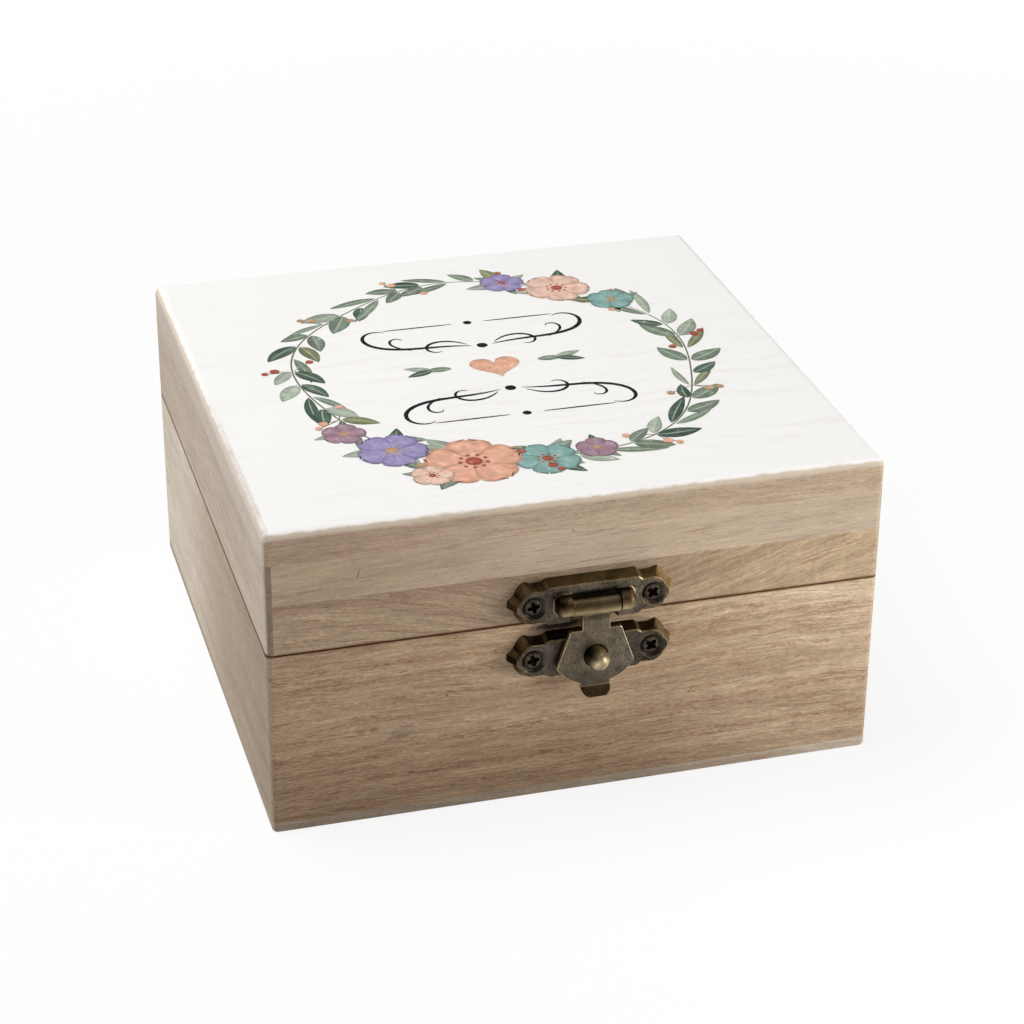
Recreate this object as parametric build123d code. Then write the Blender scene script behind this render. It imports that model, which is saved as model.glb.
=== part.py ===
from build123d import *
import os
from math import cos, radians, sin, tan

# Keepsake box of glued boards. The lid turns on two butt hinges and closes with a hasp clasp.
# Millimetres. +Z is up, +X runs to the right along the front, +Y runs to the back.
# The origin is the centre of the underside.

# Wooden box
box_width = 100.0  # left to right over the walls
box_depth = 100.0  # front to back over the walls
wall = 6.0
floor_thickness = 1.8  # thin board glued under the walls
base_wall_height = 30.15
seam_gap = 0.3  # open line between base and lid
lower_stave = 8.5  # the lid's frame is edge-glued from two staves
upper_stave = 6.95
top_thickness = 5.4
rabbet_lip = 1.2  # each lid rail's right end laps over its neighbour with a lip this thick
corner_round = 1.0  # upright edges
top_round = 1.5  # upper edge of the lid
floor_round = 1.4  # lower edge of the floor

# Clasp plates: pan-shaped stampings, one on the lid and one on the base
clasp_offset = 1.45  # the clasp sits this far right of the middle
plate_depth = 2.4  # from the wood to the face
plate_sheet = 0.8
face_bevel = 0.2  # worn edge of the face
outline_round = 0.4
plate_lift = 0.05  # foot of the lid plate above the rim of the base
plate_pitch = 9.48  # from one plate's centre line to the other's

# Outline of a plate's foot, on the wood, and of its face. Each is a straight edge, a notch, and an
# end lobe that bows down to a waist and runs out in a blunt point. Lengths are from the middle.
foot_outline = {
    "edge": 3.85,  # height of the straight edge
    "straight": 7.2,  # end of the straight edge
    "notch_start": 8.0,
    "notch_end": 9.7,
    "notch": 0.6,  # depth of the notch
    "lobe": 10.85,  # peak of the lobe
    "lobe_drop": 0.15,  # the peak lies this far below the straight edge
    "bow": 0.25,
    "waist": (12.45, 1.45),
    "point": 13.5,
    "point_rise": 0.6,  # half the height of the blunt point
}
face_outline = {
    "edge": 3.2,
    "straight": 7.2,
    "notch_start": 7.95,
    "notch_end": 9.0,
    "notch": 0.5,
    "lobe": 9.9,
    "lobe_drop": 0.42,
    "bow": 0.3,
    "waist": (11.65, 1.3),
    "point": 12.3,
    "point_rise": 0.5,
}
shortening = 0.25  # a margin shortens the straight edge and the lobe by this much of itself

# Clasp pin, its ears and the hasp
clasp_pin_radius = 0.65
clasp_pin_hold = 1.5  # length held in each ear
pin_drop = 0.3  # the pin lies this far below the lid plate's centre line
pin_standoff = 3.0  # from the wood to the pin's axis
ear_radius = 1.75
ear_rise = 0.35  # the ears' bulges stand this much above the pin's axis
ear_length = 2.45
ear_end_round = 1.2
ear_blend = 0.4  # hollow round between ear and face
window_width = 7.9
window_rise = 2.1  # from the pin's axis to the window's upper edge
hasp_side_gap = 0.15  # knuckle to ear
hasp_sheet = 0.8
hasp_lift = 0.65  # hasp to the base plate's face
curl_slit = 0.12  # open line where the knuckle's sheet comes down on the neck
neck_width = 4.55
neck_length = 3.9  # from the pin's axis to the shield
shield_top_width = 8.3
shield_width = 12.75
shield_height = 6.45  # from its top to its widest line
shield_belly = 3.45  # from its widest line to the bottom of its bow
shield_round = 0.5
tab_width = 4.8
tab_reach = 2.0  # along the bent tab
tab_bend = 50.0  # degrees out of the shield's plane
tab_round = 1.2
bend_radius = 0.7
hasp_edge_round = 0.18

# Knob riveted to the base plate; it stands through a hole in the hasp
knob_radius = 1.75
knob_drop = 8.65  # from the pin's axis to the knob's centre
knob_height = 7.0  # from the wood to its crown
knob_stem_radius = 1.3
knob_flange_radius = 1.9
knob_flange = 0.5
hasp_hole_gap = 0.3  # radial gap between knob and hasp

# Cross-recessed countersunk screws
clasp_screw_spacing = 19.4
clasp_screw_head_radius = 1.6
clasp_screw_shank_radius = 0.8
clasp_screw_length = 6.2
clasp_seat_margin = 0.45  # the seat's cone is this much wider than the head
hinge_screw_head_radius = 1.35
hinge_screw_shank_radius = 0.7
hinge_screw_length = 5.0
hinge_seat_margin = 0.05
cross_length = 1.3  # of the head's radius
cross_width = 0.4  # of the head's radius
first_turn = 12.0  # degrees that the first screw's cross is turned
turn_step = 37.0  # and each further one's
cross_depth = 0.55
cross_taper = 16.0
head_crown = 0.22
shank_point = 1.6
screw_hole_gap = 0.1  # shank to sheet
pilot_gap = 0.05  # shank to wood
pilot_extra = 0.3  # pilot hole beyond the screw's point

# Butt hinges on the outside of the back
hinge_inset = 22.0  # from the box's side to a hinge's middle
hinge_width = 16.0
leaf_height = 9.0  # from the pin's axis to the leaf's outer edge
leaf_sheet = 0.8
leaf_corner = 1.6
hinge_lift = 0.2  # knuckles to wood
knuckle_count = 5
knuckle_gap = 0.15
hinge_pin_radius = 0.65
hinge_pin_head_radius = 1.05
hinge_pin_head = 0.4
leaf_clearance = 0.25  # leaf to the other leaf's knuckles
hinge_screw_spacing = 10.0
hinge_screw_height = 5.6  # from the pin's axis
running_clearance = 0.05  # knuckle on its pin
fixed_clearance = 0.02  # pin in the ears that hold it

# Heights and places that follow
hinge_spacing = box_width - 2 * hinge_inset
hasp_front_lift = plate_depth + hasp_lift + hasp_sheet - pin_standoff  # from the pin's axis
hasp_knuckle_radius = clasp_pin_radius + running_clearance + hasp_sheet
hinge_knuckle_radius = hinge_pin_radius + running_clearance + leaf_sheet
base_rim = floor_thickness + base_wall_height
lid_rim = base_rim + seam_gap
stave_joint = lid_rim + lower_stave
top_underside = stave_joint + upper_stave
lid_top = top_underside + top_thickness
lid_plate_height = base_rim + plate_lift + foot_outline["edge"]
base_plate_height = lid_plate_height - plate_pitch
clasp_pin_height = lid_plate_height - pin_drop
hinge_pin_height = base_rim + seam_gap / 2
hinge_pin_standoff = hinge_knuckle_radius + hinge_lift

# Mounting planes: x along the wood, y up, z out of the wood
clasp_plane = Plane(origin=(clasp_offset, -box_depth / 2, 0), x_dir=(1, 0, 0), z_dir=(0, -1, 0))
lid_plate_plane = clasp_plane * Pos(0, lid_plate_height, 0)
base_plate_plane = clasp_plane * Pos(0, base_plate_height, 0)
hinge_sides = {"left": -1, "right": 1}

# Half length of each side of the box, and its distance from the middle, going round from the front
box_sides = {
    "front": (box_width / 2, box_depth / 2),
    "right": (box_depth / 2, box_width / 2),
    "back": (box_width / 2, box_depth / 2),
    "left": (box_depth / 2, box_width / 2),
}


def hinge_plane(side):
    """Plane on the back of the box at a hinge, with the pin's height as y = 0."""
    place = (side * hinge_spacing / 2, box_depth / 2, hinge_pin_height)
    return Plane(origin=place, x_dir=(-1, 0, 0), z_dir=(0, 1, 0))


def block(width, depth, low, high):
    corner = (Align.CENTER, Align.CENTER, Align.MIN)
    return Pos(0, 0, low) * Box(width, depth, high - low, align=corner)


def upright(edges):
    return edges.filter_by(Axis.Z)


def frame(low, high):
    """Square ring of the four walls, its outer corners rounded."""
    outer = block(box_width, box_depth, low, high)
    outer = fillet(upright(outer.edges()), corner_round)
    return outer - block(box_width - 2 * wall, box_depth - 2 * wall, low, high)


def mitred(half_length, distance):
    """Plan of a front wall that meets its neighbours at mitres."""
    inner = half_length - wall
    outside = [(-half_length, -distance), (half_length, -distance)]
    inside = [(inner, wall - distance), (-inner, wall - distance)]
    return outside + inside


def lapped(half_length, distance):
    """Plan of a front rail whose right end laps over its neighbour, and whose left end is lapped."""
    start, shoulder = rabbet_lip - half_length, half_length - wall
    return [
        (start, -distance),
        (half_length, -distance),
        (half_length, rabbet_lip - distance),
        (shoulder, rabbet_lip - distance),
        (shoulder, wall - distance),
        (start, wall - distance),
    ]


def ring_sides(plan, low, high):
    """The four sides of the box between two heights. The plan is turned round from the front."""
    ring = frame(low, high)
    pieces = {}
    for quarter_turns, (name, (half_length, distance)) in enumerate(box_sides.items()):
        outline = make_face(Polyline(*plan(half_length, distance), close=True))
        prism = Pos(0, 0, low) * extrude(outline, high - low)
        pieces[name] = ring & Rot(0, 0, 90 * quarter_turns) * prism
    return pieces


def base_walls():
    sides = ring_sides(mitred, floor_thickness, base_rim)
    return {f"base_{side}_wall": piece for side, piece in sides.items()}


def lid_rails(layer, low, high):
    """One layer of staves of the lid's frame."""
    sides = ring_sides(lapped, low, high)
    return {f"lid_{side}_rail_{layer}": piece for side, piece in sides.items()}


def floor_board():
    board = block(box_width, box_depth, 0, floor_thickness)
    board = fillet(board.faces().sort_by(Axis.Z)[0].edges(), floor_round)
    return fillet(upright(board.edges()), corner_round)


def top_board():
    board = block(box_width, box_depth, top_underside, lid_top)
    board = fillet(board.faces().sort_by(Axis.Z)[-1].edges(), top_round)
    return fillet(upright(board.edges()), corner_round)


def cross_recess(head_radius):
    """Tapered cross for a screwdriver, cut down from z = 0."""
    bar = Rectangle(cross_length * head_radius, cross_width * head_radius)
    return extrude(bar + Rot(0, 0, 90) * bar, -cross_depth, taper=cross_taper)


def screw(head_radius, shank_radius, length):
    """Countersunk screw along -z. The edge of its crowned head lies at z = 0."""
    neck = shank_radius - head_radius
    side = Polyline(
        (head_radius, 0),
        (shank_radius, neck),
        (shank_radius, shank_point - length),
        (0, -length),
        (0, head_crown),
    )
    crown = RadiusArc((0, head_crown), (head_radius, 0), crown_radius(head_radius, head_crown))
    solid = revolve(Plane.XZ * make_face(side + crown), Axis.Z)
    return solid - Pos(0, 0, head_crown) * cross_recess(head_radius)


def crown_radius(half_width, rise):
    """Radius of the arc that rises by this much over this half width."""
    return (half_width**2 + rise**2) / (2 * rise)


def countersink(head_radius, shank_radius, margin, below):
    """Cutter for a screw hole whose seat is 'margin' wider than the head at z = 0."""
    mouth = head_radius + margin
    hole = shank_radius + screw_hole_gap
    cone_depth = mouth - hole
    cone = Pos(0, 0, -cone_depth / 2) * Cone(hole, mouth, cone_depth)
    return cone + Pos(0, 0, -below / 2) * Cylinder(hole, below)


def pilot(shank_radius, depth):
    """Cutter for a pilot hole that goes this deep below z = 0."""
    return Pos(0, 0, -depth / 2) * Cylinder(shank_radius + pilot_gap, depth)


def pair(spacing):
    return [Pos(-spacing / 2, 0, 0), Pos(spacing / 2, 0, 0)]


def plate_outline(shape, margin):
    """One of the plate's outlines, drawn in by a margin."""
    edge = shape["edge"] - margin
    shorter = shortening * margin
    notch = edge - shape["notch"]
    lobe = (shape["lobe"] - shorter, edge - shape["lobe_drop"])
    waist = (shape["waist"][0] - margin, shape["waist"][1])
    point = shape["point"] - margin
    rim = Polyline(
        (0, edge),
        (shape["straight"] - shorter, edge),
        (shape["notch_start"] - 2 * shorter, notch),
        (shape["notch_end"] - 2 * shorter, notch),
        lobe,
    )
    tip = Polyline(waist, (point, shape["point_rise"]), (point, 0))
    quarter = rim + SagittaArc(lobe, waist, shape["bow"]) + tip
    half = quarter + mirror(quarter, Plane.XZ)
    outline = make_face(half + mirror(half, Plane.YZ))
    corners = [v for v in outline.vertices() if min(abs(v.X), abs(v.Y)) > outline_round]
    return fillet(corners, outline_round)


def pan():
    """Plate-shaped block with sloping sides and a bevelled face."""
    sections = [
        plate_outline(foot_outline, 0),
        Pos(0, 0, plate_depth - face_bevel) * plate_outline(face_outline, -face_bevel / 2),
        Pos(0, 0, plate_depth) * plate_outline(face_outline, face_bevel / 2),
    ]
    return loft(sections, ruled=True)


def pan_hollow():
    """Room behind the plate's sheet, with sides parallel to the outer ones."""
    flare = foot_outline["edge"] - face_outline["edge"]
    sections = [
        plate_outline(face_outline, plate_sheet - flare),
        Pos(0, 0, plate_depth - plate_sheet) * plate_outline(face_outline, plate_sheet),
    ]
    return loft(sections, ruled=True)


def clasp_plate():
    """Stamped plate, open at the back, with dimpled seats for its screws."""
    body = pan() - pan_hollow()
    mouth = clasp_screw_head_radius + clasp_seat_margin
    dimple_depth = plate_depth - plate_sheet
    dimple = Pos(0, 0, dimple_depth / 2) * Cone(
        clasp_screw_shank_radius + plate_sheet, mouth + plate_sheet / 2, dimple_depth
    )
    cutter = Pos(0, 0, plate_depth) * countersink(
        clasp_screw_head_radius, clasp_screw_shank_radius, clasp_seat_margin, plate_depth
    )
    for place in pair(clasp_screw_spacing):
        body += place * dimple
        body -= place * cutter
    return body


def ear():
    """Bulge pressed out of the lid plate, from x = 0 outwards, about an axis at the pin's standoff."""
    shoulder = ear_length - ear_end_round
    waist = ear_radius - ear_end_round
    side = Polyline((ear_length, waist), (ear_length, 0), (0, 0), (0, ear_radius), (shoulder, ear_radius))
    bulge = revolve(make_face(side + CenterArc((shoulder, waist), ear_end_round, 0, 90)), Axis.X)
    behind = pin_standoff - plate_depth + plate_sheet
    above_sheet = (Align.CENTER, Align.CENTER, Align.MIN)
    room = Box(2 * ear_length, 2 * ear_radius, ear_radius + behind, align=above_sheet)
    return bulge & Pos(0, 0, -behind) * room


def lid_plate():
    """Clasp plate with a window, open below, for the hasp's knuckle, and an ear at each side of it."""
    body = clasp_plate()
    axis = Pos(0, -pin_drop, pin_standoff)
    right_ear = Pos(window_width / 2, ear_rise, 0) * ear()
    body += axis * right_ear
    body += axis * mirror(right_ear, Plane.YZ)
    body = fillet(ear_feet(body), ear_blend)
    window_height = foot_outline["edge"] + window_rise - pin_drop
    over_foot = (Align.CENTER, Align.MIN, Align.CENTER)
    window = Box(window_width, window_height, 4 * plate_depth, align=over_foot)
    body -= Pos(0, -foot_outline["edge"], 0) * window
    body -= axis * pin_rod(clasp_pin_radius + fixed_clearance, clasp_pin_length() + 2 * fixed_clearance)
    return body


def ear_feet(body):
    """Edges where the ears rise from the plate's face."""
    face = body.faces().filter_by(Axis.Z).sort_by(Axis.Z)[-1]
    near = (window_width / 2 - hasp_side_gap, window_width / 2 + ear_length + hasp_side_gap)
    middle = ear_rise - pin_drop
    return [
        edge
        for edge in face.edges()
        if near[0] < abs(edge.center().X) < near[1] and abs(edge.center().Y - middle) < ear_radius
    ]


def pin_rod(radius, length):
    return Rot(0, 90, 0) * Cylinder(radius, length)


def clasp_pin_length():
    return window_width + 2 * clasp_pin_hold


def hasp_front():
    """Hasp in front view: neck, shield and rounded finger tab. The pin's axis is y = 0."""
    top = -neck_length
    widest = top - shield_height
    bottom = widest - shield_belly
    corner = shield_width / 2
    shoulder = shield_top_width / 2
    sides = Polyline((corner, widest), (shoulder, top), (-shoulder, top), (-corner, widest))
    belly = ThreePointArc((-corner, widest), (0, bottom), (corner, widest))
    shield = make_face(sides + belly)
    shield = fillet(shield.vertices(), shield_round)
    neck = Pos(0, top / 2, 0) * Rectangle(neck_width, neck_length + shield_round)
    tip = tab_bend_start() - tab_reach * cos(radians(tab_bend))
    tab = Pos(0, (widest + tip) / 2, 0) * Rectangle(tab_width, widest - tip)
    tab = fillet(tab.vertices().group_by(Axis.Y)[0], tab_round)
    return shield + neck + tab


def tab_bend_start():
    """Height of the line about which the tab is bent, just below the shield."""
    bottom = -neck_length - shield_height - shield_belly
    return bottom - bend_radius * tan(radians(tab_bend) / 2)


def hasp_side():
    """Hasp in side view: one sheet that falls from the knuckle and turns outwards at the tab."""
    middle = hasp_front_lift - hasp_sheet / 2
    turn = radians(tab_bend)
    bend = tab_bend_start()
    reach = tab_reach + hasp_sheet
    tip = (middle + reach * sin(turn), bend - reach * cos(turn))
    path = FilletPolyline((middle, 0), (middle, bend), tip, radius=bend_radius)
    side_view = Plane(origin=(0, 0, 0), x_dir=(0, 0, 1), z_dir=(-1, 0, 0))
    return side_view * trace(path, hasp_sheet)


def hasp():
    """Hasp about its pin, which is the x axis. Its sheet is rolled over the pin from behind."""
    length = window_width - 2 * hasp_side_gap
    bore = clasp_pin_radius + running_clearance
    through = 4 * hasp_knuckle_radius
    sheet = extrude(hasp_side(), shield_width, both=True)
    sheet &= extrude(hasp_front(), through, both=True)
    sheet = fillet(front_edges(sheet), hasp_edge_round)
    over_neck = (Align.CENTER, Align.MAX, Align.MIN)
    slit = Box(length, hasp_knuckle_radius, curl_slit, align=over_neck)
    knuckle = pin_rod(hasp_knuckle_radius, length) - Pos(0, 0, hasp_front_lift) * slit
    hole = Cylinder(knob_radius + hasp_hole_gap, through)
    return sheet + knuckle - pin_rod(bore, length) - Pos(0, -knob_drop, 0) * hole


def front_edges(sheet):
    """Edges of the flat front, without its upper end and the line where the tab bends away."""
    front = sheet.faces().filter_by(Axis.Z).sort_by(Axis.Z)[-1]
    across = front.edges().filter_by(Axis.X).group_by(Axis.Y)
    ends = across[-1] + [edge for edge in across[0] if abs(edge.center().X) < tab_width / 4]
    return [edge for edge in front.edges() if edge not in ends]


def knob():
    """Domed stud, riveted through the base plate's face by a flange behind it. Wood is z = 0."""
    inside = plate_depth - plate_sheet
    knob_shoulder = knob_height - knob_radius
    side = Polyline(
        (0, knob_height),
        (0, inside - knob_flange),
        (knob_flange_radius, inside - knob_flange),
        (knob_flange_radius, inside),
        (knob_stem_radius, inside),
        (knob_stem_radius, plate_depth),
        (knob_radius, plate_depth + knob_radius - knob_stem_radius),
        (knob_radius, knob_shoulder),
    )
    crown = CenterArc((0, knob_shoulder), knob_radius, 0, 90)
    return revolve(Plane.XZ * make_face(side + crown), Axis.Z)


def screws(places, head_radius, shank_radius, length):
    """Screws at these places, each turned a little further than the one before it."""
    one = screw(head_radius, shank_radius, length)
    turns = [Rot(0, 0, first_turn + index * turn_step) for index in range(len(places))]
    return Compound([place * turn * one for place, turn in zip(places, turns)])


def knuckle_slots():
    """Middle of each knuckle's share of the hinge's width, from left to right."""
    pitch = hinge_width / knuckle_count
    return [(index - (knuckle_count - 1) / 2) * pitch for index in range(knuckle_count)]


def hinge_leaf(first_slot):
    """Leaf below the pin, which is the line y = 0, with every second knuckle from first_slot on."""
    pitch = hinge_width / knuckle_count
    slots = knuckle_slots()
    edge = -seam_gap / 2
    outline = Pos(0, (edge - leaf_height) / 2, 0) * Rectangle(hinge_width, leaf_height + edge)
    outline = fillet(outline.vertices().group_by(Axis.Y)[0], leaf_corner)
    leaf = extrude(outline, leaf_sheet)
    axis = Pos(0, 0, hinge_pin_standoff)
    for slot in slots[1 - first_slot :: 2]:
        leaf -= Pos(slot, 0, 0) * axis * pin_rod(hinge_knuckle_radius + leaf_clearance, pitch + knuckle_gap)
    for slot in slots[first_slot::2]:
        leaf += Pos(slot, 0, 0) * axis * pin_rod(hinge_knuckle_radius, pitch - knuckle_gap)
    leaf -= axis * pin_rod(hinge_pin_radius + running_clearance, hinge_width)
    cutter = countersink(hinge_screw_head_radius, hinge_screw_shank_radius, hinge_seat_margin, leaf_sheet)
    for place in pair(hinge_screw_spacing):
        leaf -= Pos(0, -hinge_screw_height, leaf_sheet) * place * cutter
    return leaf


def hinge_pin():
    """Pin with a peened head at each end, clear of the outer knuckles."""
    rod = pin_rod(hinge_pin_radius, hinge_width)
    head = pin_rod(hinge_pin_head_radius, hinge_pin_head)
    reach = (hinge_width + hinge_pin_head) / 2
    return rod + Pos(-reach, 0, 0) * head + Pos(reach, 0, 0) * head


def flip(solid):
    """Turn a leaf's parts over the pin's height, from the base's side to the lid's."""
    return mirror(solid, Plane.XZ)


def clasp():
    """The seven pieces of the clasp, and the cutters for its pilot holes in the wood."""
    pin_line = clasp_plane * Pos(0, clasp_pin_height, pin_standoff)
    knob_spot = clasp_plane * Pos(0, clasp_pin_height - knob_drop, 0)
    rivet_hole = knob_spot * Cylinder(knob_stem_radius, 3 * plate_depth)
    size = (clasp_screw_head_radius, clasp_screw_shank_radius, clasp_screw_length)
    head = Pos(0, 0, plate_depth - clasp_seat_margin)
    lid_places = [lid_plate_plane * place for place in pair(clasp_screw_spacing)]
    base_places = [base_plate_plane * place for place in pair(clasp_screw_spacing)]
    parts = {
        "clasp_lid_plate": lid_plate_plane * lid_plate(),
        "clasp_hinge_pin": pin_line * pin_rod(clasp_pin_radius, clasp_pin_length()),
        "clasp_hasp": pin_line * hasp(),
        "clasp_base_plate": base_plate_plane * clasp_plate() - rivet_hole,
        "clasp_knob": knob_spot * knob(),
        "clasp_lid_screws": screws([place * head for place in lid_places], *size),
        "clasp_base_screws": screws([place * head for place in base_places], *size),
    }
    hole = pilot(clasp_screw_shank_radius, clasp_screw_length - plate_depth + clasp_seat_margin + pilot_extra)
    cutters = {
        "lid_front_rail_lower": [place * hole for place in lid_places],
        "base_front_wall": [place * hole for place in base_places],
    }
    return parts, cutters


def hinge(side_name, side):
    """One butt hinge: two leaves and their pin, with the places of its screws."""
    plane = hinge_plane(side)
    axis = plane * Pos(0, 0, hinge_pin_standoff)
    parts = {
        f"hinge_{side_name}_base_leaf": plane * hinge_leaf(0),
        f"hinge_{side_name}_lid_leaf": plane * flip(hinge_leaf(1)),
        f"hinge_{side_name}_pin": axis * hinge_pin(),
    }
    places = pair(hinge_screw_spacing)
    below = [plane * Pos(0, -hinge_screw_height, 0) * place for place in places]
    above = [plane * Pos(0, hinge_screw_height, 0) * place for place in places]
    return parts, below, above


def hinges():
    """Both hinges, their screws, and the cutters for their pilot holes in the wood."""
    parts, below, above = {}, [], []
    for side_name, side in hinge_sides.items():
        more, low, high = hinge(side_name, side)
        parts |= more
        below += low
        above += high
    size = (hinge_screw_head_radius, hinge_screw_shank_radius, hinge_screw_length)
    head = Pos(0, 0, leaf_sheet - hinge_seat_margin)
    parts["hinge_base_screws"] = screws([place * head for place in below], *size)
    parts["hinge_lid_screws"] = screws([place * head for place in above], *size)
    hole = pilot(hinge_screw_shank_radius, hinge_screw_length - leaf_sheet + hinge_seat_margin + pilot_extra)
    cutters = {
        "base_back_wall": [place * hole for place in below],
        "lid_back_rail_lower": [place * hole for place in above],
    }
    return parts, cutters


def build():
    pieces = {"base_floor": floor_board(), "lid_top_board": top_board()}
    pieces |= base_walls()
    pieces |= lid_rails("lower", lid_rim, stave_joint)
    pieces |= lid_rails("upper", stave_joint, top_underside)
    for parts, cutters in (clasp(), hinges()):
        pieces |= parts
        for name, holes in cutters.items():
            for hole in holes:
                pieces[name] -= hole
    return pieces


os.makedirs("parts", exist_ok=True)
for name, piece in build().items():
    export_step(piece, f"parts/{name}.step")
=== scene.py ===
import math

import bpy
import numpy as np
from mathutils import Matrix, Vector


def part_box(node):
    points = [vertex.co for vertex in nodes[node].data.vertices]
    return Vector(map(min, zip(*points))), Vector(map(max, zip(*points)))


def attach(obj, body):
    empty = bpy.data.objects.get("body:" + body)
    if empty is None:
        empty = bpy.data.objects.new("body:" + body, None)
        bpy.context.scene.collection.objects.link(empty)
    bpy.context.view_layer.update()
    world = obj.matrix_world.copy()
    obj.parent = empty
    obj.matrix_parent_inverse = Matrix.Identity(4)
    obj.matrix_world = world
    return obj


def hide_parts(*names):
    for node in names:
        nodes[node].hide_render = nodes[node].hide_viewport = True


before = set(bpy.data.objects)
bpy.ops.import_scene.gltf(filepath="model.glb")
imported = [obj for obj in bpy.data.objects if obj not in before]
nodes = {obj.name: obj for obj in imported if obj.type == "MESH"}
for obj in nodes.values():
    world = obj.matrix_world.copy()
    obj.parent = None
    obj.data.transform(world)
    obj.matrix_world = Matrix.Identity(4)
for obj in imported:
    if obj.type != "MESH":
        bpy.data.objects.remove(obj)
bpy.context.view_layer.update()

mm = 0.001


# camera and lamps, in metres
view = {
    "place": (-0.112679, -0.405793, 0.243811),
    "lookAt": (0.004104, 0.003990, 0.022814),
    "roll": 0.4066,  # degrees, right side up
    "lens": 96.21,  # millimetres, as the sensor
    "sensor": 36.0,
    "sees": (0.01, 20),  # from and to this far
}


# a new object in the scene
def placed(name, data):
    made = bpy.data.objects.new(name, data)
    bpy.context.scene.collection.objects.link(made)
    return made


def makeCamera():
    lens = bpy.data.cameras.new("mainCamera")
    lens.lens, lens.sensor_width = view["lens"], view["sensor"]
    lens.clip_start, lens.clip_end = view["sees"]
    camera = placed("mainCamera", lens)
    look = Vector(view["lookAt"]) - Vector(view["place"])
    turn = look.to_track_quat("-Z", "Y").to_matrix() @ Matrix.Rotation(math.radians(view["roll"]), 3, "Z")
    camera.matrix_world = Matrix.Translation(view["place"]) @ turn.to_4x4()
    bpy.context.scene.camera = camera


# name: place, point it faces, size, watts, colour, whether glossy surfaces mirror it
lamps = {
    "overheadSoftbox": ((-0.32, 0.14, 0.92), (0, 0, 0.03), 0.70, 8.2, (1.0, 0.985, 0.965), False),
    "leftSoftbox": ((-0.85, 0.10, 0.35), (0, 0, 0.02), 0.45, 2.0, (1.0, 0.99, 0.98), False),
    "rightSoftbox": ((0.215, -0.185, 0.060), (0.045, -0.05, 0.025), 0.12, 0.44, (1.0, 0.97, 0.93), True),
}
sky = {"colour": (0.97, 0.985, 1.0), "strength": 0.15}


def makeLamps():
    for name, (place, target, size, watts, colour, mirrored) in lamps.items():
        lamp = bpy.data.lights.new(name, "AREA")
        lamp.shape, lamp.size, lamp.energy, lamp.color = "SQUARE", size, watts, colour
        softbox = placed(name, lamp)
        look = Vector(target) - Vector(place)
        softbox.location = place
        softbox.visible_glossy = mirrored
        softbox.rotation_euler = look.to_track_quat("-Z", "Y").to_euler()
    world = bpy.data.worlds.new("studio")
    bpy.context.scene.world = world
    world.use_nodes = True
    background = world.node_tree.nodes["Background"]
    background.inputs["Color"].default_value = (*sky["colour"], 1)
    background.inputs["Strength"].default_value = sky["strength"]


print("camera and lamps")
makeCamera()
makeLamps()


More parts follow.
